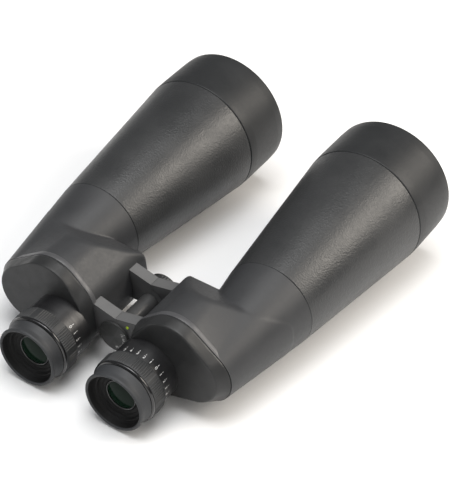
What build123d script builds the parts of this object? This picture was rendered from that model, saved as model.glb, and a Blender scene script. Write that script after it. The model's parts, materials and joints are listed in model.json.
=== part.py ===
from build123d import *
import math
import os

# Astronomy binoculars, in millimetres.
# Origin: on the hinge axis, in the tripod socket, level with the front face of the front hinge arm.
# +Y runs along the hinge towards the objectives, +Z is up, +X is the user's right.
# Most pieces are made once for the right barrel and mirrored for the left one.

# ---- driving dimensions -------------------------------------------------------------------
OBJECTIVE_X, OBJECTIVE_Z = 71.7, 7.0        # objective axis
EYE_X, EYE_Z = 35.4, -0.6                   # eyepiece axis
MIDDLE_X, MIDDLE_Z = 49.8, 21.3             # axis between the two prisms

PLATE_REAR, PLATE_FRONT = -61.0, -51.7      # cover plate
SEAM = -51.3                                # rear edge of the housing
BAND_FRONT = -47.3                          # front of the raised band round the housing's rear edge
TUBE_REAR, TUBE_FRONT = 28.5, 154.6         # tapered tube
HOOD_FRONT = 199.2
HUMP_FRONT = 11.5                           # flat front of the prism hump
SHOULDER_SLOPE = 1.5                        # the hump's shoulder runs back this much per millimetre up
BARREL_REAR_R = 23.0                        # the tapered barrel's radius at the seam
HUMP_TUCK = 0.3                             # how far the hump's wrap lies inside the barrel's surface
SHOULDER_Y = 42.8                           # where the shoulder's plane meets the level of the hinge

TUBE_REAR_R, TUBE_FRONT_R = 34.2, 48.4      # outside the rubber
HOOD_R = 48.8
RUBBER = 1.5                                # thickness of the rubber skin
METAL = 2.0                                 # thickness of the cast and turned walls
BAND = 0.8                                  # how far the rear band stands proud of the body
WALL_OUT, WALL_IN = BAND + RUBBER, BAND + RUBBER + METAL   # the cast wall, in from the seam's outline

ARM_T = 9.0                                 # each hinge arm, along Y
REAR_ARM = -50.4                            # rear face of the rear arm
FRONT_ARM = -ARM_T                          # rear face of the front arm
ARM_TOP_Z, ARM_TILT, ARM_BOTTOM_Z = 15.4, 13.0, -5.0
ARM_REACH = 18.2                            # how far the arms run into the housing
ARM_STOP = 0.1                              # half the gap between the arms' stop faces
KNUCKLE_R = 10.5
LAP_GAP = 0.3                               # clearance between the two half-lapped knuckles
AXLE_R, AXLE_FIT = 5.5, 0.05
HINGE_TUBE_R = 6.8
DISC_R, DISC_T = 11.9, 1.5

SOCKET_R, SOCKET_REAR = 2.55, -8.0          # tapping size of a 1/4 inch camera thread
BOSS_FRONT = 4.0                            # the socket's boss, in front of the arm
CAP_R, CAP_T = 12.6, 8.0

LENS_R, APERTURE_R = 42.0, 40.0
CROWN_FRONT = 176.0                         # front vertex of the crown lens
SHELF_REAR, SHELF_T, SHELF_LEDGE = -30.0, 3.0, 1.0
PRISM_L, PRISM_W, PRISM_FLAT = 50.0, 21.0, 4.0

SLEEVE_R, SLEEVE_BORE, SLEEVE_REAR = 22.9, 20.2, -81.5
RING_R, RING_FRONT, RING_REAR = 24.6, -77.3, -88.3
COLLAR_REAR = -90.5
CUP_RIM = -101.7
BEZEL_REAR = -92.4

# rounded outline of the cover plate: (x, z, radius) of each lobe, at its rear face and at its seam
REAR_LOBES = [(35.4, -0.6, 20.9), (42.0, 9.0, 23.2), (50.0, 19.0, 24.3), (66.0, 9.5, 22.0)]
SEAM_LOBES = [(35.4, -0.6, 21.5), (40.0, 12.0, 24.0), (50.0, 19.0, 25.3), (71.0, 7.3, 22.6)]

os.makedirs("parts", exist_ok=True)


def save(name, part):
    part.label = name
    export_step(part, f"parts/{name}.step")


def save_pair(name, part):
    save(f"right_{name}", part)
    save(f"left_{name}", mirror(part, about=Plane.YZ))


def across(y, x=0.0, z=0.0):
    """A plane square to the optical axes: sketch x is X, sketch y is Z, and it extrudes towards -Y."""
    return Plane(origin=(x, y, z), x_dir=(1, 0, 0), z_dir=(0, -1, 0))


def lobed(lobes, inset=0.0):
    """Adds the hull of some circles to the current sketch."""
    for x, z, r in lobes:
        with Locations((x, z)):
            Circle(r - inset)
    make_hull()


def outline(y, lobes, inset=0.0):
    with BuildSketch(across(y)) as sketch:
        lobed(lobes, inset)
    return sketch.sketch


def turned(points, x=0.0, z=0.0):
    """A turned piece about an axis along Y: points are (radius, y)."""
    with BuildPart() as piece:
        with BuildSketch(Plane(origin=(x, 0, z), x_dir=(1, 0, 0), z_dir=(0, 0, 1))):
            with BuildLine():
                Polyline(points, close=True)
            make_face()
        revolve(axis=Axis((x, 0, z), (0, 1, 0)))
    return piece.part


# ---- prism housing and its rubber skin ----------------------------------------------------
def barrel_r(y):
    """Radius of the tapered barrel behind the tube."""
    return BARREL_REAR_R + (TUBE_REAR_R + BAND - BARREL_REAR_R) * (y - SEAM) / (TUBE_REAR - SEAM)


def hump_section(y, inset):
    """The hump's section wraps round the barrel, just inside its surface."""
    around_barrel = (OBJECTIVE_X, OBJECTIVE_Z, barrel_r(y) - HUMP_TUCK)
    return outline(y, SEAM_LOBES[:-1] + [around_barrel], inset).face()


def body_form(inset, rear=SEAM):
    """A hump over the prisms and a tapered barrel, drawn in by inset from the seam's outline."""
    with BuildPart() as hump:
        loft([hump_section(rear, inset), hump_section(HUMP_FRONT - inset, inset)], ruled=True)
        shoulder = Plane(
            origin=(0, SHOULDER_Y - inset * math.hypot(1, SHOULDER_SLOPE), 0),
            x_dir=(1, 0, 0),
            z_dir=(0, -1, -SHOULDER_SLOPE),
        )
        split(bisect_by=shoulder, keep=Keep.TOP)
    with BuildPart() as barrel:
        with BuildSketch(across(rear)):
            with Locations((OBJECTIVE_X, OBJECTIVE_Z)):
                Circle(barrel_r(rear) - inset)
        with BuildSketch(across(TUBE_REAR)):
            with Locations((OBJECTIVE_X, OBJECTIVE_Z)):
                Circle(TUBE_REAR_R + BAND - inset)
        loft()
    return hump.part + barrel.part


def arm_block(rear, thickness, grow=0.0):
    """One hinge arm beside the knuckle: its top slopes up from the hinge into the housing."""
    rise = math.tan(math.radians(ARM_TILT)) * ARM_REACH
    stop = ARM_STOP - grow
    with BuildPart() as block:
        with BuildSketch(across(rear - grow)):
            with BuildLine():
                Polyline(
                    (stop, ARM_BOTTOM_Z - grow),
                    (ARM_REACH, ARM_BOTTOM_Z - grow),
                    (ARM_REACH, ARM_TOP_Z + rise + grow),
                    (stop, ARM_TOP_Z + grow),
                    close=True,
                )
            make_face()
        extrude(amount=-(thickness + 2 * grow))
    return block.part


def rod(radius, rear, front, x=0.0, z=0.0):
    with BuildPart() as piece:
        with BuildSketch(across(rear, x, z)):
            Circle(radius)
        extrude(amount=rear - front)
    return piece.part


def lapped_arm(rear, knuckle_first):
    """An arm with its half-thickness knuckle, and room for the other barrel's knuckle beside it."""
    half = ARM_T / 2
    own, other = (rear, rear + half) if knuckle_first else (rear + half, rear)
    arm = arm_block(rear, ARM_T) + rod(KNUCKLE_R, own + LAP_GAP / 2, own + half - LAP_GAP / 2)
    arm -= rod(KNUCKLE_R + LAP_GAP, other - LAP_GAP / 2, other + half + LAP_GAP / 2)
    return arm - rod(AXLE_R + AXLE_FIT, rear - 1, rear + ARM_T + 1)


def housing_cavity():
    with BuildPart() as wide:
        with BuildSketch(across(SEAM - 1)):
            lobed(SEAM_LOBES, WALL_IN)
        extrude(amount=SEAM - 1 - (SHELF_REAR + SHELF_T))
    narrow = body_form(WALL_IN + SHELF_LEDGE, SHELF_REAR)
    seat = rod(TUBE_REAR_R - RUBBER - METAL - 0.8, 15.0, TUBE_REAR + 1, OBJECTIVE_X, OBJECTIVE_Z)
    return wide.part + narrow + seat


def prism_housing(knuckle_first):
    shell = body_form(WALL_OUT) - housing_cavity()
    for rear in (REAR_ARM, FRONT_ARM):
        arm = lapped_arm(rear, knuckle_first)
        shell += arm - housing_cavity()
    return shell


def body_armour():
    skin = body_form(BAND) + extrude(outline(SEAM, SEAM_LOBES), amount=SEAM - BAND_FRONT)
    skin -= body_form(WALL_OUT)
    for rear in (REAR_ARM, FRONT_ARM):
        skin -= arm_block(rear, ARM_T, 0.5)
    return skin.solids().sort_by(SortBy.VOLUME)[-1]


save("left_prism_housing", mirror(prism_housing(True), about=Plane.YZ))
save("right_prism_housing", prism_housing(False))
save_pair("body_armour", body_armour())


# ---- objective tube, its skin and the hood ------------------------------------------------
taper = (TUBE_FRONT_R - TUBE_REAR_R) / (TUBE_FRONT - TUBE_REAR)
metal_rear_r = TUBE_REAR_R - RUBBER
metal_front_r = TUBE_FRONT_R - RUBBER
spigot_r = TUBE_REAR_R - RUBBER - METAL - 0.8
cell_bore = metal_front_r - 0.6 - METAL
lip_front = TUBE_FRONT + 6.0

save_pair("objective_tube", turned([
    (spigot_r - METAL, TUBE_REAR - 10),
    (spigot_r, TUBE_REAR - 10),
    (spigot_r, TUBE_REAR),
    (metal_rear_r, TUBE_REAR),
    (metal_front_r, TUBE_FRONT),
    (cell_bore + METAL, TUBE_FRONT),
    (cell_bore + METAL, lip_front),
    (cell_bore, lip_front),
    (cell_bore, TUBE_FRONT - 6),
    (spigot_r - METAL, TUBE_REAR),
], OBJECTIVE_X, OBJECTIVE_Z))

save_pair("tube_armour", turned([
    (metal_rear_r, TUBE_REAR),
    (TUBE_REAR_R, TUBE_REAR),
    (TUBE_FRONT_R, TUBE_FRONT),
    (metal_front_r, TUBE_FRONT),
], OBJECTIVE_X, OBJECTIVE_Z))

with BuildPart() as hood:
    add(turned([
        (cell_bore + METAL, TUBE_FRONT),
        (HOOD_R - 0.3, TUBE_FRONT),
        (HOOD_R, TUBE_FRONT + 6),
        (HOOD_R - 0.3, HOOD_FRONT),
        (HOOD_R - 2.6, HOOD_FRONT),
        (HOOD_R - 2.9, lip_front),
        (cell_bore + METAL, lip_front),
    ], OBJECTIVE_X, OBJECTIVE_Z))
    rim_edges = hood.edges().filter_by(GeomType.CIRCLE).group_by(Axis.Y)[-1]
    fillet(rim_edges, 1.0)
save_pair("objective_hood", hood.part)


# ---- objective lenses, cell, retaining ring and seal --------------------------------------
def sag(radius, r):
    return radius - math.sqrt(radius * radius - r * r)


def lens(rear_vertex, front_vertex, rear_radius, front_radius, r, x, z):
    """A lens between two spheres. A positive radius bulges towards +Y, a negative one towards -Y."""
    def face_y(vertex, radius, at):
        return vertex - math.copysign(sag(abs(radius), at), radius)
    with BuildPart() as glass:
        with BuildSketch(Plane(origin=(x, 0, z), x_dir=(1, 0, 0), z_dir=(0, 0, 1))):
            with BuildLine():
                rear_edge = (r, face_y(rear_vertex, rear_radius, r))
                front_edge = (r, face_y(front_vertex, front_radius, r))
                rear_middle = (r / 2, face_y(rear_vertex, rear_radius, r / 2))
                front_middle = (r / 2, face_y(front_vertex, front_radius, r / 2))
                ThreePointArc((0, rear_vertex), rear_middle, rear_edge)
                Line(rear_edge, front_edge)
                ThreePointArc(front_edge, front_middle, (0, front_vertex))
                Line((0, front_vertex), (0, rear_vertex))
            make_face()
        revolve(axis=Axis((x, 0, z), (0, 1, 0)))
    return glass.part


crown_rear = CROWN_FRONT - 15.0
flint_rear = crown_rear - 5.0
crown_glass = lens(crown_rear, CROWN_FRONT, -140.0, 180.0, LENS_R, OBJECTIVE_X, OBJECTIVE_Z)
flint_glass = lens(flint_rear, crown_rear, -600.0, -140.0, LENS_R, OBJECTIVE_X, OBJECTIVE_Z)
save_pair("crown_lens", crown_glass)
save_pair("flint_lens", flint_glass)

cell_rear, cell_front = TUBE_FRONT - 2.6, CROWN_FRONT - 1.0
ledge_y = flint_rear + 1.2
groove_y = TUBE_FRONT + 2.4
save_pair("objective_cell", turned([
    (APERTURE_R, cell_rear),
    (cell_bore, cell_rear),
    (cell_bore, groove_y - 1),
    (cell_bore - 1.5, groove_y - 1),
    (cell_bore - 1.5, groove_y + 1),
    (cell_bore, groove_y + 1),
    (cell_bore, cell_front),
    (LENS_R + 0.05, cell_front),
    (LENS_R + 0.05, ledge_y),
    (APERTURE_R, ledge_y),
], OBJECTIVE_X, OBJECTIVE_Z))

with BuildPart() as o_ring:
    with BuildSketch(Plane(origin=(OBJECTIVE_X, groove_y, OBJECTIVE_Z), x_dir=(1, 0, 0), z_dir=(0, 0, 1))):
        with Locations((cell_bore - 0.75, 0)):
            Circle(0.72)
    revolve(axis=Axis((OBJECTIVE_X, 0, OBJECTIVE_Z), (0, 1, 0)))
save_pair("objective_o_ring", o_ring.part)

retainer_rear = CROWN_FRONT - sag(180.0, APERTURE_R) + 0.1
save_pair("objective_retaining_ring", turned([
    (APERTURE_R, retainer_rear),
    (LENS_R, retainer_rear),
    (LENS_R, retainer_rear + 3),
    (APERTURE_R + 1, retainer_rear + 3),
    (APERTURE_R, retainer_rear + 2),
], OBJECTIVE_X, OBJECTIVE_Z))


# ---- prisms and the shelf that carries them -----------------------------------------------
def prism_place(start, end, y, towards):
    """Plane through the middle of a prism's long face: sketch x runs along it, sketch y points away."""
    dx, dz = end[0] - start[0], end[1] - start[1]
    middle = ((start[0] + end[0]) / 2, y, (start[1] + end[1]) / 2)
    return Plane(origin=middle, x_dir=(dx, 0, dz), z_dir=(-towards * dz, 0, towards * dx))


def porro_prism(place):
    half, top = PRISM_L / 2, PRISM_L / 2 - PRISM_FLAT / 2
    with BuildPart() as prism:
        with BuildSketch(place):
            with BuildLine():
                Polyline(
                    (-half, 0), (half, 0), (half, 1.5), (PRISM_FLAT / 2 - 0.5, top + 1),
                    (0.5 - PRISM_FLAT / 2, top + 1), (-half, 1.5), close=True,
                )
            make_face()
        extrude(amount=PRISM_W / 2, both=True)
    return prism.part


STRAP_T, STRAP_W, FOOT = 0.8, 6.0, 5.0
strap_inner = PRISM_W / 2 + 0.1
strap_top = PRISM_L / 2 - PRISM_FLAT / 2 + 1.1
screw_offset = strap_inner + STRAP_T + FOOT / 2


def side_on(place):
    """The prism's plane turned a quarter about its height, so that sketch x runs across the prism."""
    return Plane(origin=place.origin, x_dir=place.z_dir, z_dir=place.z_dir.cross(place.y_dir))


def prism_strap(place):
    with BuildPart() as strap:
        with BuildSketch(side_on(place)):
            with Locations((0, strap_top + STRAP_T / 2)):
                Rectangle(2 * (strap_inner + STRAP_T), STRAP_T)
            for side in (-1, 1):
                with Locations((side * (strap_inner + STRAP_T / 2), strap_top / 2)):
                    Rectangle(STRAP_T, strap_top)
                with Locations((side * (strap_inner + (STRAP_T + FOOT) / 2), STRAP_T / 2)):
                    Rectangle(STRAP_T + FOOT, STRAP_T)
        extrude(amount=STRAP_W / 2, both=True)
    for side in (-1, 1):
        strap.part -= screw_rod(place, side, 1.1, -1, 3)
    return strap.part


def screw_rod(place, side, radius, low, high):
    with BuildPart() as shank:
        base = place.origin + place.z_dir * (side * screw_offset) + place.y_dir * low
        with BuildSketch(Plane(origin=base, x_dir=place.x_dir, z_dir=place.y_dir)):
            Circle(radius)
        extrude(amount=high - low)
    return shank.part


rear_place = prism_place((OBJECTIVE_X, OBJECTIVE_Z), (MIDDLE_X, MIDDLE_Z), SHELF_REAR, -1)
front_place = prism_place((MIDDLE_X, MIDDLE_Z), (EYE_X, EYE_Z), SHELF_REAR + SHELF_T, 1)
save_pair("rear_prism", porro_prism(rear_place))
save_pair("front_prism", porro_prism(front_place))

strap_pair, screw_group = [], []
for place in (rear_place, front_place):
    strap_pair.append(prism_strap(place))
    for side in (-1, 1):
        head = screw_rod(place, side, 1.9, STRAP_T, STRAP_T + 1.2)
        screw_group.append(head + screw_rod(place, side, 0.95, -1.2, STRAP_T))
save_pair("prism_straps", Compound(children=strap_pair))
save_pair("strap_screws", Compound(children=screw_group))

shelf = extrude(outline(SHELF_REAR, SEAM_LOBES, WALL_IN + 0.1), amount=-SHELF_T)
for x, z, r in ((OBJECTIVE_X, OBJECTIVE_Z, 10.0), (MIDDLE_X, MIDDLE_Z, 9.5), (EYE_X, EYE_Z, 9.5)):
    shelf -= rod(r, SHELF_REAR - 1, SHELF_REAR + SHELF_T + 1, x, z)
for place in (rear_place, front_place):
    for side in (-1, 1):
        shelf -= screw_rod(place, side, 1.0, -1.3, 1)
save_pair("prism_shelf", shelf)


# ---- cover plate and its gasket -----------------------------------------------------------
with BuildPart() as cover_plate:
    loft([outline(PLATE_REAR, REAR_LOBES).face(), outline(PLATE_FRONT, SEAM_LOBES).face()])
    fillet(cover_plate.faces().sort_by(Axis.Y)[0].edges(), 1.0)
    with BuildSketch(across(PLATE_FRONT + 1)):
        lobed(REAR_LOBES, 3.0)
    extrude(amount=PLATE_FRONT + 1 - (PLATE_REAR + 3), mode=Mode.SUBTRACT)
    with BuildSketch(across(PLATE_REAR - 1, EYE_X, EYE_Z)):
        Circle(19.5)
    extrude(amount=-6, mode=Mode.SUBTRACT)
save_pair("cover_plate", cover_plate.part)

with BuildPart() as gasket:
    with BuildSketch(across(PLATE_FRONT)):
        lobed(SEAM_LOBES, 0.6)
    extrude(amount=PLATE_FRONT - SEAM)
    with BuildSketch(across(PLATE_FRONT - 1)):
        lobed(SEAM_LOBES, 3.6)
    extrude(amount=-3, mode=Mode.SUBTRACT)
save_pair("cover_gasket", gasket.part)


# ---- eyepiece -----------------------------------------------------------------------------
PIN_R, PIN_Y, SLOT_L = 1.0, -69.0, 8.0      # guide pin, and the slot that it runs in
SPIGOT_BORE, SPIGOT_R = 17.6, 19.45         # the sleeve's spigot, in the cover plate
SPIGOT_FRONT = PLATE_REAR + 3.0
LENS_SEAT_REAR = -90.9                      # where the bezel holds the eye lens
STEM_REAR = -88.5

save_pair("scale_sleeve", turned([
    (SPIGOT_BORE, SPIGOT_FRONT), (SPIGOT_R, SPIGOT_FRONT), (SPIGOT_R, PLATE_REAR), (SLEEVE_R, PLATE_REAR),
    (SLEEVE_R, SLEEVE_REAR), (SLEEVE_BORE, SLEEVE_REAR), (SLEEVE_BORE, PLATE_REAR - METAL),
    (SPIGOT_BORE, PLATE_REAR - METAL),
], EYE_X, EYE_Z) - Pos(EYE_X, PIN_Y, EYE_Z - SLEEVE_BORE - 1.3) * Cylinder(PIN_R + 0.05, 6))
save_pair("guide_pin", Pos(EYE_X, PIN_Y, EYE_Z - SLEEVE_BORE - 0.4) * Cylinder(PIN_R, 4.0))

flange_r, stem_r, bezel_r = 19.9, 17.3, 11.9
eye_aperture, eye_bore = 9.6, 11.0
nose_r, field_bore, field_aperture, nose_front = 17.2, 15.4, 13.0, -52.0
flange_rear, flange_front, chamber_rear = -85.2, -66.0, -83.0
ocular = turned([
    (eye_aperture, BEZEL_REAR), (bezel_r, BEZEL_REAR), (bezel_r, STEM_REAR), (stem_r, STEM_REAR),
    (stem_r, flange_rear), (flange_r, flange_rear), (flange_r, flange_front), (nose_r, flange_front),
    (nose_r, nose_front), (field_bore, nose_front), (field_bore, flange_front),
    (field_aperture, flange_front), (field_aperture, chamber_rear), (eye_bore, chamber_rear), (eye_bore, LENS_SEAT_REAR),
    (eye_aperture, LENS_SEAT_REAR),
], EYE_X, EYE_Z)
ocular -= Pos(EYE_X, flange_front - SLOT_L / 2, EYE_Z - SLEEVE_BORE) * Box(2.6, SLOT_L, 4.0)
save_pair("ocular_barrel", ocular)
lens_r, field_lens_r = eye_bore - 0.1, field_bore - 0.1
save_pair("eye_lens", lens(-90.6, -84.0, -40.0, 40.0, lens_r, EYE_X, EYE_Z))
save_pair("field_lens", lens(-64.5, -55.5, -60.0, 60.0, field_lens_r, EYE_X, EYE_Z))
save_pair("field_lens_ring", turned([
    (field_aperture, -55.2), (field_lens_r, -56.6), (field_lens_r, -53.0), (field_aperture, -53.0),
], EYE_X, EYE_Z))
clamp_rear, clamp_front = COLLAR_REAR + 0.2, STEM_REAR - 0.05
save_pair("ocular_clamp_ring", turned([
    (bezel_r + 0.1, clamp_rear), (18.6, clamp_rear), (18.6, clamp_front), (bezel_r + 0.1, clamp_front),
], EYE_X, EYE_Z))

RIBS_PER_GROUP, RIB_GROUPS, RIB_PITCH = 9, 8, 3.9
FIRST_GROUP = 66.5                          # angle of the middle of the first group of ribs
with BuildPart() as focus_ring:
    add(turned([
        (SLEEVE_R + 0.4, RING_FRONT), (RING_R - 0.3, RING_FRONT), (RING_R, RING_FRONT - 0.4),
        (RING_R, RING_REAR), (stem_r + AXLE_FIT, RING_REAR), (stem_r + AXLE_FIT, flange_rear - 0.3),
        (SLEEVE_R + 0.4, flange_rear - 0.3),
    ], EYE_X, EYE_Z))
    rib_length = RING_FRONT - RING_REAR - 2.0
    for group in range(RIB_GROUPS):
        sweep = RIB_PITCH * (RIBS_PER_GROUP - 1)
        first = FIRST_GROUP + group * 360 / RIB_GROUPS - sweep / 2
        with BuildSketch(across(RING_REAR + 0.8, EYE_X, EYE_Z)):
            with PolarLocations(RING_R, RIBS_PER_GROUP, first, sweep, endpoint=True):
                Rectangle(0.7, 0.9)
        extrude(amount=-rib_length)
save_pair("focus_ring", focus_ring.part)

collar_bore = 19.0
with BuildPart() as collar:
    add(turned([
        (collar_bore, RING_REAR), (24.5, RING_REAR), (24.2, COLLAR_REAR), (collar_bore, COLLAR_REAR),
    ], EYE_X, EYE_Z))
    fillet(collar.edges().filter_by(GeomType.CIRCLE).group_by(Axis.Y)[0].sort_by(SortBy.LENGTH)[-1], 0.8)
save_pair("collar", collar.part)

with BuildPart() as eyecup:
    with BuildSketch(Plane(origin=(EYE_X, 0, EYE_Z), x_dir=(1, 0, 0), z_dir=(0, 0, 1))):
        with BuildLine():
            side = Spline((23.7, COLLAR_REAR), (22.0, -95.8), (22.5, CUP_RIM + 2.2), (22.2, CUP_RIM + 0.5))
            Line(side @ 1, (21.4, CUP_RIM))
            Line((21.4, CUP_RIM), (20.5, CUP_RIM + 0.3))
            Line((20.5, CUP_RIM + 0.3), (18.2, -93.4))
            Line((18.2, -93.4), (12.3, -92.6))
            Line((12.3, -92.6), (12.3, COLLAR_REAR))
            Line((12.3, COLLAR_REAR), side @ 0)
        make_face()
    revolve(axis=Axis((EYE_X, 0, EYE_Z), (0, 1, 0)))
save_pair("eyecup", eyecup.part)


# ---- hinge --------------------------------------------------------------------------------
disc_front = REAR_ARM - 0.2
insert_r = 4.0
save("hinge_axle", rod(AXLE_R, disc_front, BOSS_FRONT) - rod(insert_r, SOCKET_REAR, BOSS_FRONT + 1))
save("socket_insert", rod(insert_r, SOCKET_REAR, BOSS_FRONT) - rod(SOCKET_R, SOCKET_REAR - 1, BOSS_FRONT + 1))
hinge_tube = rod(HINGE_TUBE_R, REAR_ARM + ARM_T + LAP_GAP, FRONT_ARM - LAP_GAP)
save("hinge_tube", hinge_tube - rod(AXLE_R, REAR_ARM, BOSS_FRONT))

with BuildPart() as scale_disc:
    with BuildSketch(across(disc_front)):
        Circle(DISC_R)
    extrude(amount=DISC_T)
    fillet(scale_disc.faces().sort_by(Axis.Y)[0].edges(), 0.5)
save("scale_disc", scale_disc.part)

DOT_X, DOT_Z = 10.2, 12.7
with BuildPart() as index_dot:
    with BuildSketch(across(REAR_ARM, DOT_X, DOT_Z)):
        Circle(1.0)
    extrude(amount=0.5)
save("index_dot", index_dot.part)

with BuildPart() as socket_cap:
    with BuildSketch(across(LAP_GAP)):
        Circle(CAP_R)
    extrude(amount=-CAP_T)
    fillet(socket_cap.faces().sort_by(Axis.Y)[-1].edges(), 2.0)
    with BuildSketch(across(LAP_GAP)):
        Circle(AXLE_R + LAP_GAP)
    extrude(amount=-(BOSS_FRONT + 1), mode=Mode.SUBTRACT)
save("socket_cap", socket_cap.part)
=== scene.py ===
import json
import math

import bmesh
import bpy
import numpy as np
from mathutils import Matrix, Vector


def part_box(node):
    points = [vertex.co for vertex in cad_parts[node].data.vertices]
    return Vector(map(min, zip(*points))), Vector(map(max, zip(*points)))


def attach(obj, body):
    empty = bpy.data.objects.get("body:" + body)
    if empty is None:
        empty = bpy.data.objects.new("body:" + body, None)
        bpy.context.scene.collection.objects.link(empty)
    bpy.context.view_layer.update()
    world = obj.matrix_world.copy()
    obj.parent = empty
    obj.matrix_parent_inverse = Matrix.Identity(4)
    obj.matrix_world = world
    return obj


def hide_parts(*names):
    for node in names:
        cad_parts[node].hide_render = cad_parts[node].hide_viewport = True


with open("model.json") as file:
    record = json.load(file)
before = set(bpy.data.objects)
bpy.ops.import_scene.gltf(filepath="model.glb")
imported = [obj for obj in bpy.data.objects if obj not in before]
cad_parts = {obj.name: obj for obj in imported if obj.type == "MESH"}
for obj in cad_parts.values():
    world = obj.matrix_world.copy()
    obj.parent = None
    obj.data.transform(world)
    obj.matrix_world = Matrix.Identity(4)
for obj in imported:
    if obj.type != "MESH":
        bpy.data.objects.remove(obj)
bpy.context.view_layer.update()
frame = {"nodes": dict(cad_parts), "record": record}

# Astronomy binoculars. Lengths are written in millimetres and turned into metres by MM.
MM = 0.001
SIDES = {"right": 1, "left": -1}


# ---- places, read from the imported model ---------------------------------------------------
def node_box(name):
    low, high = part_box(name)
    return np.array(low) / MM, np.array(high) / MM


def node_axis(name):
    """(x, z) of a turned node's axis."""
    low, high = node_box(name)
    return (low[0] + high[0]) / 2, (low[2] + high[2]) / 2


def node_span(name):
    """(rearmost y, foremost y) of a node."""
    low, high = node_box(name)
    return low[1], high[1]


OBJECTIVE = node_axis("right_objective_hood")
EYE = node_axis("right_collar")
PLATE_REAR, PLATE_FRONT = node_span("right_cover_plate")
SEAM, BODY_FRONT = node_span("right_body_armour")
TUBE_REAR, TUBE_FRONT = node_span("right_tube_armour")
HOOD_FRONT = node_span("right_objective_hood")[1]
CUP_RIM = node_span("right_eyecup")[0]
RING_REAR, RING_FRONT = node_span("right_focus_ring")
COLLAR_REAR = node_span("right_collar")[0]
DISC_REAR, DISC_FRONT = node_span("scale_disc")
CAP_REAR, CAP_FRONT = node_span("socket_cap")

# ---- sizes shared with the CAD model ------------------------------------------------------
TUBE_REAR_R, TUBE_FRONT_R, HOOD_R = 34.2, 48.4, 48.8
RUBBER, BAND = 1.5, 0.8              # thickness of the armour, and how far the rear band stands out
BAND_FRONT = -47.3
SLEEVE_REAR = -81.3                   # rear end of the scale sleeve
SKIRT_REAR = -85.6                    # the focus ring's skirt reaches back over the sleeve to here
CUP_WAIST, CUP_LIP = -93.5, -96.6     # narrowest part of the eyecup, and where its lip begins
GLASS_REAR = -93.35                   # rear pole of the eye lens
ARM_REACH, POCKET_GAP = 18.2, 0.7     # outer end of the hinge arms, and the room round them
HUMP_FRONT, SHOULDER_Y, SHOULDER_SLOPE = 11.5, 42.8, 1.5
REAR_LOBES = ((35.4, -0.6, 20.9), (42.0, 9.0, 23.2), (50.0, 19.0, 24.3), (66.0, 9.5, 22.0))
SEAM_LOBES = ((35.4, -0.6, 21.5), (40.0, 12.0, 24.0), (50.0, 19.0, 25.3), (71.0, 7.3, 22.6))
BARREL_REAR_R = 23.0
SLEEVE_R, RING_R = 22.9, 24.6
ARM_T, REAR_ARM, FRONT_ARM = 9.0, -50.4, -9.0
ARM_TOP_Z, ARM_TILT, ARM_BOTTOM_Z = 15.4, 13.0, -5.0


# ---- mesh helpers -------------------------------------------------------------------------
def mesh_object(name, verts, faces, smooth_angle=35.0):
    mesh = bpy.data.meshes.new(name)
    mesh.from_pydata([tuple(float(c) * MM for c in v) for v in verts], [], faces)
    mesh.validate()
    for polygon in mesh.polygons:
        polygon.use_smooth = True
    mesh.set_sharp_from_angle(angle=math.radians(smooth_angle))
    piece = bpy.data.objects.new(name, mesh)
    bpy.context.scene.collection.objects.link(piece)
    return piece


def outward(piece):
    """Turns every face outwards."""
    work = bmesh.new()
    work.from_mesh(piece.data)
    bmesh.ops.recalc_face_normals(work, faces=work.faces)
    work.to_mesh(piece.data)
    work.free()
    return piece


def rings_object(name, rings, closed=False, smooth_angle=35.0):
    """A mesh through rings of equal length. closed joins the last ring to the first."""
    around = len(rings[0])
    verts = np.concatenate(rings)
    faces = []
    count = len(rings)
    for i in range(count if closed else count - 1):
        a, b = i * around, ((i + 1) % count) * around
        for j in range(around):
            k = (j + 1) % around
            faces.append((a + j, a + k, b + k, b + j))
    return outward(mesh_object(name, verts, faces, smooth_angle))


def rounded(profile, steps=6):
    """(r, y) points from (r, y, corner radius) ones: each corner is rounded by its own radius."""
    points = []
    count = len(profile)
    for i, (r, y, *rest) in enumerate(profile):
        radius = rest[0] if rest else 0.0
        here = Vector((r, y))
        before, after = Vector(profile[i - 1][:2]), Vector(profile[(i + 1) % count][:2])
        if radius <= 0:
            points.append(here)
            continue
        into, out = (before - here).normalized(), (after - here).normalized()
        half = into.angle(out) / 2
        reach = min(radius / math.tan(half), (before - here).length * 0.49, (after - here).length * 0.49)
        start, end = here + into * reach, here + out * reach
        for step in range(steps + 1):
            t = step / steps
            points.append(start.lerp(here, t).lerp(here.lerp(end, t), t))
    return [(p.x, p.y) for p in points]


def turned(name, profile, axis, side=1, around=192, closed=True, smooth_angle=35.0, radius_at=None):
    """A piece turned about an axis along Y. radius_at(angles, r, y) adds to the radius r."""
    x, z = axis
    turn = np.linspace(0, 2 * math.pi, around, endpoint=False)
    rings = []
    for r, y in rounded(profile):
        radius = np.full(around, r)
        if radius_at is not None:
            radius = radius + radius_at(turn, r, y)
        across, up = side * x + radius * np.cos(turn), z + radius * np.sin(turn)
        rings.append(np.stack([across, np.full(around, y), up], 1))
    return rings_object(name, rings, closed, smooth_angle)


def finish_piece(piece, material, body, replaced=()):
    piece.data.materials.clear()
    piece.data.materials.append(material)
    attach(piece, body)
    if replaced:
        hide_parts(*replaced)
    return piece


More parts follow.
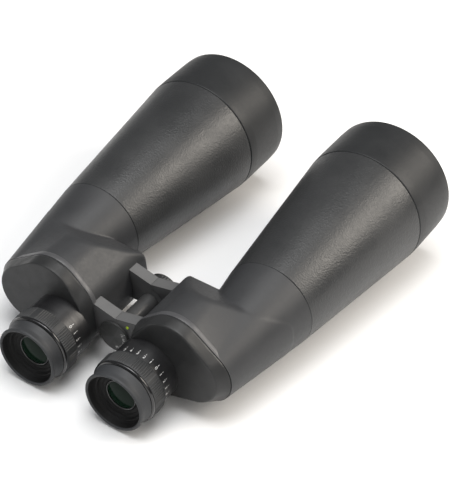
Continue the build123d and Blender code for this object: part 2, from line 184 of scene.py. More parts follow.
# ---- node materials -----------------------------------------------------------------------
class Nodes:
    """Short forms for building a node tree."""

    def __init__(self, name):
        self.material = bpy.data.materials.new(name)
        self.material.use_nodes = True
        self.tree = self.material.node_tree
        self.shader = self.tree.nodes["Principled BSDF"]
        self.place = self.tree.nodes.new("ShaderNodeTexCoord").outputs["Object"]

    def node(self, kind, **values):
        made = self.tree.nodes.new(kind)
        for key, value in values.items():
            setattr(made, key, value)
        return made

    def link(self, source, target):
        self.tree.links.new(source, target)

    def noise(self, scale, detail=4.0, roughness=0.55, stretch=(1, 1, 1)):
        mapping = self.node("ShaderNodeMapping")
        mapping.inputs["Scale"].default_value = stretch
        self.link(self.place, mapping.inputs["Vector"])
        texture = self.node("ShaderNodeTexNoise")
        texture.inputs["Scale"].default_value = scale
        texture.inputs["Detail"].default_value = detail
        texture.inputs["Roughness"].default_value = roughness
        self.link(mapping.outputs["Vector"], texture.inputs["Vector"])
        return texture.outputs["Fac"]

    def cells(self, scale, feature="F1", randomness=1.0):
        texture = self.node("ShaderNodeTexVoronoi", feature=feature)
        texture.inputs["Scale"].default_value = scale
        texture.inputs["Randomness"].default_value = randomness
        self.link(self.place, texture.inputs["Vector"])
        return texture.outputs["Distance"]

    def spread(self, value, low, high, start=0.0, end=1.0):
        """Maps start..end of a value to low..high."""
        ranged = self.node("ShaderNodeMapRange")
        for key, number in (("From Min", start), ("From Max", end), ("To Min", low), ("To Max", high)):
            ranged.inputs[key].default_value = number
        self.link(value, ranged.inputs["Value"])
        return ranged.outputs["Result"]

    def math(self, operation, a, b):
        made = self.node("ShaderNodeMath", operation=operation)
        for socket, value in zip(made.inputs, (a, b)):
            if isinstance(value, (int, float)):
                socket.default_value = value
            else:
                self.link(value, socket)
        return made.outputs["Value"]

    def ramp(self, value, stops):
        """Colours along a value: stops are (place, colour)."""
        made = self.node("ShaderNodeValToRGB")
        elements = made.color_ramp.elements
        while len(elements) < len(stops):
            elements.new(0.5)
        for element, (place, colour) in zip(elements, stops):
            element.position = place
            element.color = (*colour, 1.0)
        self.link(value, made.inputs["Fac"])
        return made.outputs["Color"]

    def edges(self, low=0.5, high=0.62):
        """1 on worn convex edges, from the mesh's own curvature."""
        shape = self.node("ShaderNodeNewGeometry")
        return self.spread(shape.outputs["Pointiness"], 0.0, 1.0, low, high)

    def mix(self, factor, a, b):
        made = self.node("ShaderNodeMix", data_type="RGBA")
        self.link(factor, made.inputs["Factor"])
        for socket, value in ((made.inputs["A"], a), (made.inputs["B"], b)):
            if isinstance(value, tuple):
                socket.default_value = (*value, 1.0)
            else:
                self.link(value, socket)
        return made.outputs["Result"]

    def bump(self, height, distance, strength=1.0, over=None):
        made = self.node("ShaderNodeBump")
        made.inputs["Distance"].default_value = distance * MM
        made.inputs["Strength"].default_value = strength
        self.link(height, made.inputs["Height"])
        if over is not None:
            self.link(over, made.inputs["Normal"])
        return made.outputs["Normal"]

    def set(self, **values):
        for key, value in values.items():
            socket = self.shader.inputs[key.replace("_", " ")]
            if isinstance(value, (int, float)):
                socket.default_value = value
            elif isinstance(value, tuple):
                socket.default_value = (*value, 1.0) if len(value) == 3 else value
            else:
                self.link(value, socket)
        return self.material


def rubber(name, dark, light, rough, grain, depth, wear=(0.09, 0.092, 0.095), specular=0.5):
    """Moulded rubber: fine pebbles, slow colour drift, a dusty bloom and edges rubbed lighter."""
    n = Nodes(name)
    drift = n.noise(28.0, 5.0)
    colour = n.ramp(drift, ((0.3, dark), (0.7, light)))
    colour = n.mix(n.math("MULTIPLY", n.edges(0.52, 0.66), 0.5), colour, wear)
    pebbles = n.cells(1000.0 / grain, "SMOOTH_F1")
    dust = n.noise(420.0, 3.0)
    bumps = n.bump(pebbles, depth, 0.8)
    bumps = n.bump(dust, depth * 0.5, 0.5, bumps)
    roughness = n.spread(n.math("ADD", n.math("MULTIPLY", drift, 0.6), n.math("MULTIPLY", dust, 0.4)),
                         rough - 0.06, rough + 0.08, 0.35, 0.65)
    return n.set(Base_Color=colour, Roughness=roughness, Normal=bumps, Specular_IOR_Level=specular)


def painted(name, dark, light, rough, wear=(0.2, 0.2, 0.21), worn=0.6, specular=0.5):
    """Satin paint or anodising over metal: orange-peel, fine grit, and brighter edges."""
    n = Nodes(name)
    drift = n.noise(45.0, 4.0)
    colour = n.ramp(drift, ((0.3, dark), (0.7, light)))
    colour = n.mix(n.math("MULTIPLY", n.edges(), worn), colour, wear)
    grit = n.noise(1800.0, 2.0)
    peel = n.noise(520.0, 2.0)
    bumps = n.bump(grit, 0.01, 0.6, n.bump(peel, 0.02, 0.5))
    roughness = n.spread(n.noise(160.0, 5.0), rough - 0.06, rough + 0.08, 0.35, 0.65)
    return n.set(Base_Color=colour, Roughness=roughness, Normal=bumps, Specular_IOR_Level=specular)


def glossy(name, colour, rough=0.12):
    """Polished moulding with faint hairline scratches."""
    n = Nodes(name)
    scratches = n.noise(260.0, 6.0, 0.7, (1, 9, 1))
    drift = n.noise(60.0)
    darker = tuple(c * 0.6 for c in colour)
    return n.set(Base_Color=n.ramp(drift, ((0.3, darker), (0.7, colour))),
                 Roughness=n.spread(scratches, rough - 0.04, rough + 0.1, 0.35, 0.7),
                 Normal=n.bump(scratches, 0.004, 0.5), Coat_Weight=0.4, Coat_Roughness=0.06)


def turned_metal(name, colour, rough=0.35, metallic=1.0):
    """Lathe-turned metal: fine rings along Y."""
    n = Nodes(name)
    rings = n.noise(900.0, 3.0, 0.6, (0.03, 1, 0.03))
    drift = n.noise(70.0)
    darker = tuple(c * 0.7 for c in colour)
    return n.set(Base_Color=n.ramp(drift, ((0.3, darker), (0.7, colour))), Metallic=metallic,
                 Roughness=n.spread(rings, rough - 0.08, rough + 0.12, 0.3, 0.7),
                 Normal=n.bump(rings, 0.006, 0.6))


def coated_glass(name, dark_view_tint, painted_sheen, rough=0.02, coat=0.5, specular=0.25):
    """Dark view down a coated lens: the dark view into the tube is painted shade in the base colour, partly
    the glass's own tint, and the coating's colour, which lies in the reflection, is a painted reflection
    mixed in towards grazing view.
    """
    n = Nodes(name)
    rim = n.node("ShaderNodeLayerWeight")
    rim.inputs["Blend"].default_value = 0.35
    colour = n.mix(rim.outputs["Facing"], dark_view_tint, painted_sheen)
    dust = n.noise(300.0, 5.0)
    return n.set(Base_Color=colour, Roughness=n.spread(dust, rough, rough + 0.05, 0.4, 0.8),
                 Specular_IOR_Level=specular, Coat_Weight=coat, Coat_Roughness=0.02,
                 Normal=n.bump(dust, 0.001, 0.2))


def printed(name, colour):
    """Printed white or painted colour, slightly uneven."""
    n = Nodes(name)
    patch = n.noise(700.0, 3.0)
    darker = tuple(c * 0.8 for c in colour)
    return n.set(Base_Color=n.ramp(patch, ((0.35, darker), (0.6, colour))),
                 Roughness=n.spread(patch, 0.4, 0.6), Normal=n.bump(patch, 0.01, 0.3))


BODY_RUBBER = rubber("body_rubber", (0.026, 0.027, 0.029), (0.034, 0.035, 0.037), 0.46, 0.5, 0.03,
                     (0.045, 0.046, 0.048), specular=0.42)
TUBE_RUBBER = rubber("tube_rubber", (0.020, 0.021, 0.022), (0.029, 0.030, 0.031), 0.40, 1.15, 0.17,
                     (0.029, 0.030, 0.031), specular=0.52)
HOOD_RUBBER = rubber("hood_rubber", (0.016, 0.017, 0.018), (0.023, 0.024, 0.025), 0.44, 0.6, 0.04,
                     (0.029, 0.030, 0.031), specular=0.3)
CUP_RUBBER = rubber("cup_rubber", (0.023, 0.024, 0.026), (0.032, 0.034, 0.037), 0.55, 0.4, 0.02,
                    specular=0.4)
RING_RUBBER = rubber("ring_rubber", (0.019, 0.020, 0.021), (0.028, 0.029, 0.030), 0.5, 0.4, 0.02,
                     specular=0.4)
# Inside of the eyecups: rubber painted near black, as painted shade for the hollow of the cup.
CUP_INSIDE_SHADE_RUBBER = rubber("cup_inside_painted_shade", (0.005, 0.005, 0.005), (0.008, 0.008, 0.008), 0.55, 0.4, 0.02,
                       (0.012, 0.012, 0.012), specular=0.2)
SEAL_RUBBER = rubber("seal_rubber", (0.006, 0.006, 0.006), (0.010, 0.010, 0.010), 0.6, 0.5, 0.01)
PLATE_PAINT = painted("plate_paint", (0.017, 0.0175, 0.018), (0.024, 0.0245, 0.025), 0.40,
                      worn=0.0, specular=0.35)
BAND_PAINT = painted("band_paint", (0.022, 0.0225, 0.024), (0.03, 0.0305, 0.032), 0.4)
ARM_PAINT = painted("arm_paint", (0.032, 0.032, 0.033), (0.044, 0.044, 0.046), 0.42, (0.14, 0.14, 0.14))
SLEEVE_PAINT = turned_metal("sleeve_paint", (0.012, 0.012, 0.013), 0.36, 0.0)
TUBE_PAINT = painted("hinge_tube_paint", (0.008, 0.008, 0.008), (0.014, 0.014, 0.014), 0.35,
                     (0.06, 0.06, 0.06))
DISC_PAINT = painted("disc_paint", (0.011, 0.012, 0.011), (0.017, 0.018, 0.017), 0.42, (0.08, 0.08, 0.08))
GLOSS_BLACK = glossy("gloss_black", (0.008, 0.008, 0.009))
CAP_BLACK = glossy("cap_black", (0.02, 0.02, 0.02), 0.26)
BEZEL_BLACK = glossy("bezel_black", (0.006, 0.006, 0.006), 0.2)
BLACK_METAL = turned_metal("black_anodised", (0.03, 0.03, 0.032), 0.4, 0.6)
BRIGHT_STEEL = turned_metal("bright_steel", (0.55, 0.55, 0.56), 0.3)
BRASS = turned_metal("brass", (0.7, 0.5, 0.22), 0.3)
# Lens colours: the first is the glass's tint with painted shade for the dark view into the tube, the second a
# painted reflection of the coating.
EYE_GLASS = coated_glass("eye_glass", (0.002, 0.005, 0.003), (0.012, 0.03, 0.018), coat=0.0, specular=0.07)
FRONT_GLASS = coated_glass("front_glass", (0.004, 0.006, 0.012), (0.10, 0.16, 0.30))
PRISM_GLASS = coated_glass("prism_glass", (0.05, 0.06, 0.06), (0.3, 0.35, 0.33))
WHITE_PRINT = printed("white_print", (0.75, 0.75, 0.73))
GREEN_DOT = printed("green_dot", (0.50, 0.72, 0.02))

SLOT_MATERIALS = {
    "housing_metal": ARM_PAINT, "body_rubber": BODY_RUBBER, "turned_aluminium": BLACK_METAL,
    "tube_rubber": TUBE_RUBBER, "hood_black": HOOD_RUBBER, "crown_glass": FRONT_GLASS,
    "flint_glass": FRONT_GLASS, "prism_glass": PRISM_GLASS, "eye_glass": EYE_GLASS,
    "seal_rubber": SEAL_RUBBER, "spring_steel": BRIGHT_STEEL, "plate_black": PLATE_PAINT,
    "sleeve_black": SLEEVE_PAINT, "barrel_black": BEZEL_BLACK, "ring_rubber": RING_RUBBER,
    "gloss_black": GLOSS_BLACK, "cup_rubber": CUP_RUBBER, "brass": BRASS, "tube_black": TUBE_PAINT,
    "disc_black": DISC_PAINT, "green_paint": GREEN_DOT,
}
slot_of = {entry["node"]: entry["material_slot"] for entry in frame["record"]["subparts"]}
for node_name, cad_object in frame["nodes"].items():
    cad_object.data.materials.clear()
    cad_object.data.materials.append(SLOT_MATERIALS[slot_of[node_name]])


# ---- shape of the prism body --------------------------------------------------------------
def soft_max(a, b, k):
    """The larger of two distances, rounded over k where they meet."""
    h = np.maximum(k - np.abs(a - b), 0.0) / k
    return np.maximum(a, b) + h * h * k / 4


def soft_min(a, b, k):
    """The smaller of two distances, rounded over k where they meet."""
    return -soft_max(-a, -b, k)


FACETS, HALVINGS = 72, 9              # directions tried round a hull, and steps that refine the best one
NOSE_BLEND, EDGE_BLEND, BARREL_BLEND = 4.0, 2.6, 0.8
RAY_SEAM = (60.0, 10.0)               # inside the body at its seam: rays out of here find the surface
RAY_NEAR, RAY_FAR, RAY_STEPS = 4.0, 75.0, 26
PLATE_MIDDLE, PLATE_NEAR, PLATE_FAR = (55.0, 9.0), 1.0, 70.0


def hull_distance(x, z, lobes, inset):
    """Signed distance to the hull of circles (x, z, r): how far a point lies beyond its furthest tangent."""
    shape = np.broadcast(x, z, *(r for _, _, r in lobes)).shape
    best, at = np.full(shape, -1e9), np.zeros(shape)

    def beyond(turn):
        c, s = np.cos(turn), np.sin(turn)
        reach = lobes[0][0] * c + lobes[0][1] * s + lobes[0][2]
        for lobe_x, lobe_z, r in lobes[1:]:
            reach = np.maximum(reach, lobe_x * c + lobe_z * s + r)
        return x * c + z * s - reach

    for turn in np.linspace(0, 2 * math.pi, FACETS, endpoint=False):
        value = beyond(turn)
        at = np.where(value > best, turn, at)
        best = np.maximum(best, value)
    step = 2 * math.pi / FACETS
    for _ in range(HALVINGS):
        step /= 2
        for turn in (at - step, at + step):
            value = beyond(turn)
            at = np.where(value > best, turn, at)
            best = np.maximum(best, value)
    return best + inset


def barrel_radius(y):
    """Radius of the body's round barrel, which is coaxial with the objective."""
    return BARREL_REAR_R + (TUBE_REAR_R + BAND - BARREL_REAR_R) * (y - SEAM) / (TUBE_REAR - SEAM)


def body_distance(x, y, z, inset):
    """Signed distance to the body: a hump that wraps round the tapered barrel."""
    radius = barrel_radius(y)
    hump = hull_distance(x, z, SEAM_LOBES[:3] + ((*OBJECTIVE, radius),), inset)
    shoulder = (y + SHOULDER_SLOPE * z - SHOULDER_Y) / math.hypot(1, SHOULDER_SLOPE) + inset
    front = y - HUMP_FRONT + inset
    nose = soft_max(shoulder, front, NOSE_BLEND)
    hump = soft_max(hump, nose, EDGE_BLEND)
    barrel = np.hypot(x - OBJECTIVE[0], z - OBJECTIVE[1]) - radius + inset
    return soft_min(hump, barrel, BARREL_BLEND)


def body_rings(stations, around, inset):
    """Rings round the body at each y, found along rays from a line inside it."""
    turn = np.linspace(0, 2 * math.pi, around, endpoint=False)[None, :]
    y = np.array(stations)[:, None]
    t = (y - SEAM) / (TUBE_REAR - SEAM)
    cx, cz = (start + t * (end - start) for start, end in zip(RAY_SEAM, OBJECTIVE))
    near, far = np.full((len(stations), around), RAY_NEAR), np.full((len(stations), around), RAY_FAR)
    for _ in range(RAY_STEPS):
        middle = (near + far) / 2
        x, z = cx + middle * np.cos(turn), cz + middle * np.sin(turn)
        outside = body_distance(x, y + 0 * x, z, inset) > 0
        far = np.where(outside, middle, far)
        near = np.where(outside, near, middle)
    x, z = cx + near * np.cos(turn), cz + near * np.sin(turn)
    return np.stack([x, y + 0 * x, z], -1)


def lobe_ring(y, t, inset, around):
    """A ring round the plate's outline: t goes from its rear face (0) to its seam (1)."""
    lobes = [tuple(a + t * (b - a) for a, b in zip(rear, seam))
             for rear, seam in zip(REAR_LOBES, SEAM_LOBES)]
    turn = np.linspace(0, 2 * math.pi, around, endpoint=False)
    near, far = np.full(around, PLATE_NEAR), np.full(around, PLATE_FAR)

    def at(distance):
        return PLATE_MIDDLE[0] + distance * np.cos(turn), PLATE_MIDDLE[1] + distance * np.sin(turn)

    for _ in range(RAY_STEPS):
        middle = (near + far) / 2
        outside = hull_distance(*at(middle), lobes, inset) > 0
        far = np.where(outside, middle, far)
        near = np.where(outside, near, middle)
    x, z = at(near)
    return np.stack([x, np.full(around, y), z], 1)


def mirrored(rings, side):
    return [ring * np.array([side, 1, 1]) for ring in rings]


def cut(piece, cutter):
    """Takes the cutter out of the piece for good."""
    modifier = piece.modifiers.new("cut", "BOOLEAN")
    modifier.operation = "DIFFERENCE"
    modifier.solver = "EXACT"
    modifier.object = cutter
    bpy.context.view_layer.update()
    graph = bpy.context.evaluated_depsgraph_get()
    mesh = bpy.data.meshes.new_from_object(piece.evaluated_get(graph))
    piece.modifiers.clear()
    piece.data = mesh
    bpy.data.objects.remove(cutter)


def pocket_prism(rear, side):
    """A bar with a hinge arm's sloping top, a little larger than the arm."""
    inner_x, outer_x, grow = -5.0, ARM_REACH, POCKET_GAP
    slope = math.tan(math.radians(ARM_TILT))
    corners = [(inner_x, ARM_BOTTOM_Z - grow), (outer_x, ARM_BOTTOM_Z - grow),
               (outer_x, ARM_TOP_Z + slope * outer_x + grow), (inner_x, ARM_TOP_Z + slope * inner_x + grow)]
    verts = [(side * x, y, z) for y in (rear - grow, rear + ARM_T + grow) for x, z in corners]
    faces = [(0, 1, 2, 3), (7, 6, 5, 4), (0, 4, 5, 1), (1, 5, 6, 2), (2, 6, 7, 3), (3, 7, 4, 0)]
    return outward(mesh_object("pocket", verts, faces))


# ---- body armour, band, cover plate -------------------------------------------------------
def body_stations():
    """y of each ring: closer together where the hump's front face turns over."""
    fine = np.arange(HUMP_FRONT - 4.0, HUMP_FRONT + 2.0, 0.2)
    coarse = [y for y in np.arange(SEAM, BODY_FRONT, 1.1) if y < fine[0] - 0.5 or y > fine[-1] + 0.5]
    return sorted(coarse + list(fine) + [BODY_FRONT])


BODY_AROUND = 420
body_skin = list(body_rings(body_stations(), BODY_AROUND, BAND))
body_skin += list(body_rings(body_stations(), BODY_AROUND, BAND + RUBBER))[::-1]
for side_name, side in SIDES.items():
    armour = rings_object(f"{side_name}_armour_skin", mirrored(body_skin, side), closed=True, smooth_angle=40)
    for rear in (REAR_ARM, FRONT_ARM):
        cut(armour, pocket_prism(rear, side))
    finish_piece(armour, BODY_RUBBER, f"{side_name}_barrel", [f"{side_name}_body_armour"])

    band_profile = ((0.45, SEAM), (0.1, SEAM + 0.12), (0.0, SEAM + 0.4), (0.0, BAND_FRONT - 0.5),
                    (0.15, BAND_FRONT - 0.12), (0.5, BAND_FRONT), (BAND + 0.5, BAND_FRONT),
                    (BAND + 1.4, SEAM))
    band_rings = [lobe_ring(y, 1.0, inset, BODY_AROUND) for inset, y in band_profile]
    band = rings_object(f"{side_name}_rear_band", mirrored(band_rings, side), closed=True)
    cut(band, pocket_prism(REAR_ARM, side))
    finish_piece(band, BAND_PAINT, f"{side_name}_barrel")

    depth = PLATE_FRONT - PLATE_REAR
    rim = 0.9
    face = lobe_ring(PLATE_REAR, 0.0, rim, BODY_AROUND)
    middle = face.mean(axis=0)
    shares = (0.02, 0.2, 0.4, 0.6, 0.75, 0.87, 0.95, 1.0)
    plate_rings = [middle + (face - middle) * share for share in shares]
    for step in range(1, 7):
        a = step / 6 * math.pi / 2
        y = PLATE_REAR + rim * (1 - math.cos(a))
        plate_rings.append(lobe_ring(y, (y - PLATE_REAR) / depth, rim * (1 - math.sin(a)), BODY_AROUND))
    for t in (0.3, 0.5, 0.7, 0.85, 0.96):
        plate_rings.append(lobe_ring(PLATE_REAR + depth * t, t, 0.0, BODY_AROUND))
    plate_rings.append(lobe_ring(PLATE_FRONT - 0.15, 1.0, 0.15, BODY_AROUND))
    plate_rings.append(lobe_ring(PLATE_FRONT, 1.0, 0.4, BODY_AROUND))
    plate_rings.append(lobe_ring(PLATE_FRONT, 1.0, 3.0, BODY_AROUND))
    plate = rings_object(f"{side_name}_rear_plate", mirrored(plate_rings, side))
    finish_piece(plate, PLATE_PAINT, f"{side_name}_barrel", [f"{side_name}_cover_plate"])


# ---- tapered tube and hood ----------------------------------------------------------------
for side_name, side in SIDES.items():
    body = f"{side_name}_barrel"
    skin = turned(f"{side_name}_tube_skin", [
        (TUBE_REAR_R - RUBBER, TUBE_REAR + 0.1), (TUBE_REAR_R - 1.2, TUBE_REAR + 0.35),
        (TUBE_REAR_R - 0.3, TUBE_REAR + 0.55, 0.2), (TUBE_REAR_R + 0.05, TUBE_REAR + 0.9, 0.3),
        (TUBE_FRONT_R - 0.05, TUBE_FRONT - 0.6, 0.3), (TUBE_FRONT_R - 0.3, TUBE_FRONT - 0.25, 0.2),
        (TUBE_FRONT_R - 1.2, TUBE_FRONT - 0.2), (TUBE_FRONT_R - RUBBER, TUBE_FRONT - 0.1),
    ], OBJECTIVE, side, around=256)
    finish_piece(skin, TUBE_RUBBER, body, [f"{side_name}_tube_armour"])

    lip = TUBE_FRONT + 6.0
    inside = HOOD_R - 2.9
    baffles = []
    for i in range(14):
        y = HOOD_FRONT - 4.0 - i * 1.1
        baffles += [(inside + 0.1, y), (inside - 0.35, y - 0.55)]
    sleeve = turned(f"{side_name}_hood_sleeve", [
        (TUBE_FRONT_R - 1.9, TUBE_FRONT + 0.15), (HOOD_R - 0.75, TUBE_FRONT + 0.15, 0.4),
        (HOOD_R - 0.25, TUBE_FRONT + 0.8, 0.5), (HOOD_R, TUBE_FRONT + 8.0, 4.0),
        (HOOD_R - 0.1, HOOD_FRONT - 8.0, 4.0),
        (HOOD_R - 0.5, HOOD_FRONT, 2.2), (inside + 0.3, HOOD_FRONT, 0.9), (inside + 0.1, HOOD_FRONT - 3.0),
    ] + baffles + [(inside, lip), (TUBE_FRONT_R - 1.9, lip)], OBJECTIVE, side, around=256)
    finish_piece(sleeve, HOOD_RUBBER, body, [f"{side_name}_objective_hood"])


# ---- eyepieces ----------------------------------------------------------------------------
RIB_GROUPS, RIBS, RIB_PITCH = 8, 9, math.radians(4.0)
RIB_HEIGHT = 0.42
FIRST_GROUP = {"right": math.radians(66.5), "left": math.radians(80.0)}


def rib_height(first):
    """Ribs in groups round the focus ring, the first group's middle at the angle first."""
    period = 2 * math.pi / RIB_GROUPS
    half = RIB_PITCH * RIBS / 2

    def at(turn, r, y):
        if r < RING_R - 0.35:
            return 0.0
        offset = (turn - first + period / 2) % period - period / 2
        wave = 0.5 + 0.5 * np.cos(2 * math.pi * offset / RIB_PITCH)
        wave = np.clip(wave * 1.5, 0, 1)
        inside = np.clip((half - np.abs(offset)) / (RIB_PITCH * 0.15), 0, 1)
        fade = min(1.0, (y - RING_REAR) / 0.9, (RING_FRONT - y) / 0.9)
        return (wave - 1) * inside * RIB_HEIGHT * max(fade, 0) + 0.3 * inside * max(fade, 0)
    return at


def text_mesh(text, size):
    """Vertices and faces of flat text, centred, in millimetres."""
    curve = bpy.data.curves.new("text", "FONT")
    curve.body = text
    curve.size = size
    curve.align_x, curve.align_y = "CENTER", "CENTER"
    holder = bpy.data.objects.new("text", curve)
    mesh = bpy.data.meshes.new_from_object(holder)
    verts = np.array([v.co[:2] for v in mesh.vertices])
    faces = [tuple(p.vertices) for p in mesh.polygons]
    bpy.data.objects.remove(holder)
    return verts, faces


def wrap(verts, axis, side, radius, angle, y):
    """Flat points onto a cylinder: u runs round it, v along it."""
    turn = angle - verts[:, 0] / radius
    across, up = side * axis[0] + radius * np.cos(turn), axis[1] + radius * np.sin(turn)
    return np.stack([across, y + verts[:, 1], up], 1)


def combine(name, pieces):
    """One mesh out of several (vertices, faces)."""
    verts, faces, start = [], [], 0
    for points, quads in pieces:
        verts.append(points)
        faces += [tuple(i + start for i in face) for face in quads]
        start += len(points)
    return mesh_object(name, np.concatenate(verts), faces)


SCALE_STEP = math.radians(13.2)
TICK_REAR, DIGIT_Y, DIGIT_SIZE, PRINT_LIFT = -71.9, -73.9, 3.4, 0.04
ZERO_AT = {"right": math.radians(51.0), "left": math.radians(45.0)}
SCALE_UNITS = {"right": range(-5, 6), "left": range(0, 5)}
for side_name, side in SIDES.items():
    body, focus = f"{side_name}_barrel", f"{side_name}_focus"
    sleeve = turned(f"{side_name}_scale_drum", [
        (19.0, PLATE_REAR + 0.3), (SLEEVE_R, PLATE_REAR + 0.3), (SLEEVE_R, SLEEVE_REAR, 0.3),
        (20.3, SLEEVE_REAR, 0.3),
    ], EYE, side)
    finish_piece(sleeve, SLEEVE_PAINT, body, [f"{side_name}_scale_sleeve"])

    marks = []
    for unit in SCALE_UNITS[side_name]:
        angle = ZERO_AT[side_name] - unit * SCALE_STEP
        half_width, length = (0.14, 1.6) if unit == 0 else (0.11, 1.2)
        tick = np.array([(-half_width, 0), (half_width, 0), (half_width, length), (-half_width, length)])
        marks.append((wrap(tick, EYE, side, SLEEVE_R + PRINT_LIFT, angle, TICK_REAR), [(0, 1, 2, 3)]))
        points, faces = text_mesh(str(abs(unit)), DIGIT_SIZE)
        marks.append((wrap(points, EYE, side, SLEEVE_R + PRINT_LIFT, angle, DIGIT_Y), faces))
    scale = combine(f"{side_name}_scale_marks", marks)
    finish_piece(scale, WHITE_PRINT, body)

    ring = turned(f"{side_name}_ribbed_ring", [
        (SLEEVE_R + 0.4, RING_FRONT), (RING_R - 0.5, RING_FRONT, 0.2), (RING_R - 0.15, RING_FRONT - 0.25),
        (RING_R - 0.05, RING_FRONT - 0.9), (RING_R, RING_FRONT - 3.0), (RING_R, RING_REAR + 3.0),
        (RING_R - 0.05, RING_REAR + 0.9), (RING_R - 0.25, RING_REAR + 0.1), (18.0, RING_REAR + 0.1),
        (17.5, SKIRT_REAR), (SLEEVE_R + 0.4, SKIRT_REAR),
    ], EYE, side, around=1440, radius_at=rib_height(FIRST_GROUP[side_name]))
    finish_piece(ring, RING_RUBBER, focus, [f"{side_name}_focus_ring"])

    gloss = turned(f"{side_name}_gloss_collar", [
        (19.0, RING_REAR), (24.0, RING_REAR), (24.1, RING_REAR - 0.3, 0.2), (24.45, RING_REAR - 0.5, 0.3),
        (24.4, COLLAR_REAR + 0.7, 0.9), (23.3, COLLAR_REAR, 0.5), (19.0, COLLAR_REAR),
    ], EYE, side)
    finish_piece(gloss, GLOSS_BLACK, focus, [f"{side_name}_collar"])

    cup = turned(f"{side_name}_rubber_cup", [
        (12.4, COLLAR_REAR), (22.6, COLLAR_REAR, 0.3), (23.35, COLLAR_REAR - 0.6, 0.6),
        (22.5, CUP_WAIST, 3.0), (21.9, CUP_LIP, 4.0),
        (22.3, -98.6, 3.0), (22.75, -100.2, 1.2), (22.3, CUP_RIM + 0.1, 0.7),
        (21.2, CUP_RIM, 0.6), (20.5, CUP_RIM + 0.6, 0.3), (20.0, -99.0), (20.0, COLLAR_REAR),
    ], EYE, side, around=256)
    finish_piece(cup, CUP_RUBBER, focus, [f"{side_name}_eyecup"])
    # The cup's inner wall carries painted shade: its near-black colour stands for the shade inside the cup.
    inner_wall = turned(f"{side_name}_cup_inner_wall", [
        (20.55, CUP_RIM + 0.9), (20.25, CUP_RIM + 0.75, 0.1), (19.3, -97.4, 1.0), (18.4, -95.6, 0.5),
        (17.6, -95.5, 0.3), (16.6, -93.7, 0.4), (14.9, -93.6, 0.2), (14.3, -92.9, 0.3), (12.2, -92.75, 0.2),
        (12.2, COLLAR_REAR), (20.1, COLLAR_REAR),
    ], EYE, side, around=256)
    finish_piece(inner_wall, CUP_INSIDE_SHADE_RUBBER, focus)

    ocular = f"{side_name}_ocular"
    bezel = turned(f"{side_name}_eye_bezel", [
        (10.9, -92.35), (11.85, -92.35), (11.85, -93.0, 0.3), (11.3, -93.25, 0.25), (10.75, -92.95, 0.2),
    ], EYE, side)
    finish_piece(bezel, BEZEL_BLACK, ocular)
    glass_r, pole_r, glass_front = 10.95, 0.02, -92.3
    dome = [(pole_r, GLASS_REAR)]
    dome += [(glass_r * k / 12, GLASS_REAR + 1.0 * (k / 12) ** 2) for k in range(1, 13)]
    glass_profile = dome + [(glass_r, glass_front), (pole_r, glass_front)]
    glass = turned(f"{side_name}_eye_glass", glass_profile, EYE, side)
    finish_piece(glass, EYE_GLASS, ocular, [f"{side_name}_eye_lens"])


# ---- hinge --------------------------------------------------------------------------------
def disc_numbers():
    """Eyepiece distances round the disc's rear face, and a tick for each."""
    number_r, tick_in, tick_out, half_tick = 8.2, 10.2, 11.3, 0.14
    print_y = DISC_REAR - 0.03
    marks = []
    for step, number in enumerate((72, 68, 64, 60, 56)):
        angle = math.radians(36.0 - 26.0 * step)
        points, faces = text_mesh(str(number), 2.6)
        turn = Matrix.Rotation(angle - math.pi / 2, 2)
        spun = np.array([turn @ Vector(p) for p in points])
        centre = np.array([number_r * math.cos(angle), number_r * math.sin(angle)])
        flat = spun + centre
        marks.append((np.stack([flat[:, 0], np.full(len(flat), print_y), flat[:, 1]], 1), faces))
        across = np.array([-math.sin(angle), math.cos(angle)]) * half_tick
        along = np.array([math.cos(angle), math.sin(angle)])
        tick = [along * tick_in - across, along * tick_in + across,
                along * tick_out + across, along * tick_out - across]
        marks.append((np.array([(p[0], print_y, p[1]) for p in tick]), [(0, 1, 2, 3)]))
    return combine("disc_numbers", marks)


finish_piece(disc_numbers(), WHITE_PRINT, "left_barrel")


def cap_grip(turn, r, y):
    """Shallow flutes round the cap's rim."""
    if r < 12.3 or y > CAP_FRONT - 2.2 or y < CAP_REAR + 1.0:
        return 0.0
    return -0.25 * np.clip(np.cos(turn * 36), 0, 1)


cap = turned("dust_cap", [
    (5.9, CAP_REAR), (12.3, CAP_REAR, 0.4), (12.55, CAP_REAR + 0.9), (12.55, CAP_REAR + 1.1),
    (12.55, CAP_FRONT - 2.3), (12.5, CAP_FRONT - 2.0), (12.1, CAP_FRONT - 0.4, 1.2), (10.4, CAP_FRONT, 0.8),
    (9.4, CAP_FRONT, 0.2), (9.0, CAP_FRONT - 0.5, 0.3), (0.02, CAP_FRONT - 0.5), (0.02, CAP_REAR + 5.0),
    (5.9, CAP_REAR + 5.0),
], (0.0, 0.0), around=432, radius_at=cap_grip)
finish_piece(cap, CAP_BLACK, "socket_cap", ["socket_cap"])

disc = turned("interpupillary_disc", [
    (0.02, DISC_REAR), (11.2, DISC_REAR), (11.35, DISC_REAR + 0.12, 0.1), (11.65, DISC_REAR + 0.12, 0.15),
    (11.9, DISC_REAR + 0.45, 0.2), (11.9, DISC_FRONT), (0.02, DISC_FRONT),
], (0.0, 0.0))
finish_piece(disc, DISC_PAINT, "left_barrel", ["scale_disc"])


# ---- floor, light and camera --------------------------------------------------------------
def look_at(position, target, roll=0.0):
    """Placing of a camera or a light at a position, pointed at the target."""
    back = (Vector(position) - Vector(target)).normalized()
    right = Vector((0, 0, 1)).cross(back).normalized()
    up = back.cross(right)
    turn = Matrix((right, up, back)).transposed().to_4x4()
    return Matrix.Translation(position) @ turn @ Matrix.Rotation(roll, 4, "Z")


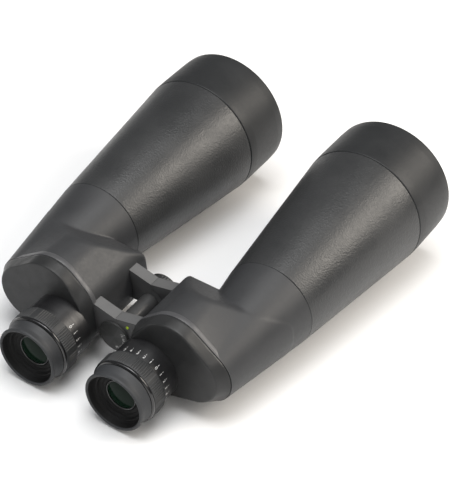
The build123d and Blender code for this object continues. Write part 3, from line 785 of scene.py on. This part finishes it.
def stage():
    """A pale floor, tilted so that the focus rings and the front edges of the tubes rest on it."""
    ring_low = EYE[1] - 25.1
    hood_low = OBJECTIVE[1] - TUBE_FRONT_R
    slope = (hood_low - ring_low) / (TUBE_FRONT - RING_REAR)
    size, gap = 4000.0, 0.3
    verts = [(x, y, ring_low - gap + slope * (y - RING_REAR)) for x, y in
             ((-size, -size), (size, -size), (size, size), (-size, size))]
    floor = mesh_object("floor", verts, [(0, 1, 2, 3)])
    n = Nodes("pale_floor")
    patch = n.noise(3.0, 3.0)
    pale = n.ramp(patch, ((0.3, (0.86, 0.86, 0.86)), (0.7, (0.88, 0.88, 0.88))))
    floor.data.materials.append(n.set(Base_Color=pale, Roughness=0.9, Specular_IOR_Level=0.1))


def area_light(name, position, target, width, watts, colour=(1, 1, 1)):
    data = bpy.data.lights.new(name, "AREA")
    data.shape = "RECTANGLE"
    data.size, data.size_y = width, width
    data.energy = watts
    data.color = colour
    light = bpy.data.objects.new(name, data)
    light.matrix_world = look_at(position, target)
    bpy.context.scene.collection.objects.link(light)


stage()
world = bpy.data.worlds.new("studio")
world.use_nodes = True
world.node_tree.nodes["Background"].inputs["Color"].default_value = (1.0, 1.0, 1.0, 1.0)
world.node_tree.nodes["Background"].inputs["Strength"].default_value = 0.22
bpy.context.scene.world = world
area_light("key_left", (-0.55, -0.6, 1.25), (0, 0.05, 0), 0.9, 4.5, (0.93, 0.96, 1.0))
area_light("fill_right", (1.15, -0.55, 0.85), (0, 0.05, 0), 0.8, 4.0, (1.0, 0.97, 0.93))
area_light("far_right", (0.95, 0.95, 0.88), (0.05, 0.05, 0), 0.8, 17.0, (1.0, 0.93, 0.84))
area_light("top", (0.05, 0.0, 1.6), (0, 0.05, 0), 1.1, 24.0)

camera_data = bpy.data.cameras.new("camera")
camera_data.lens = 126.95
camera_data.sensor_width = 36.0
camera_data.clip_start, camera_data.clip_end = 0.05, 50.0
camera = bpy.data.objects.new("camera", camera_data)
eye_point, aim_point, roll = (0.50627, -0.74397, 0.82905), (0.02170, 0.04981, 0.01486), math.radians(2.961)
camera.matrix_world = look_at(eye_point, aim_point, roll)
bpy.context.scene.collection.objects.link(camera)
bpy.context.scene.camera = camera
bpy.context.scene.view_settings.view_transform = "Standard"
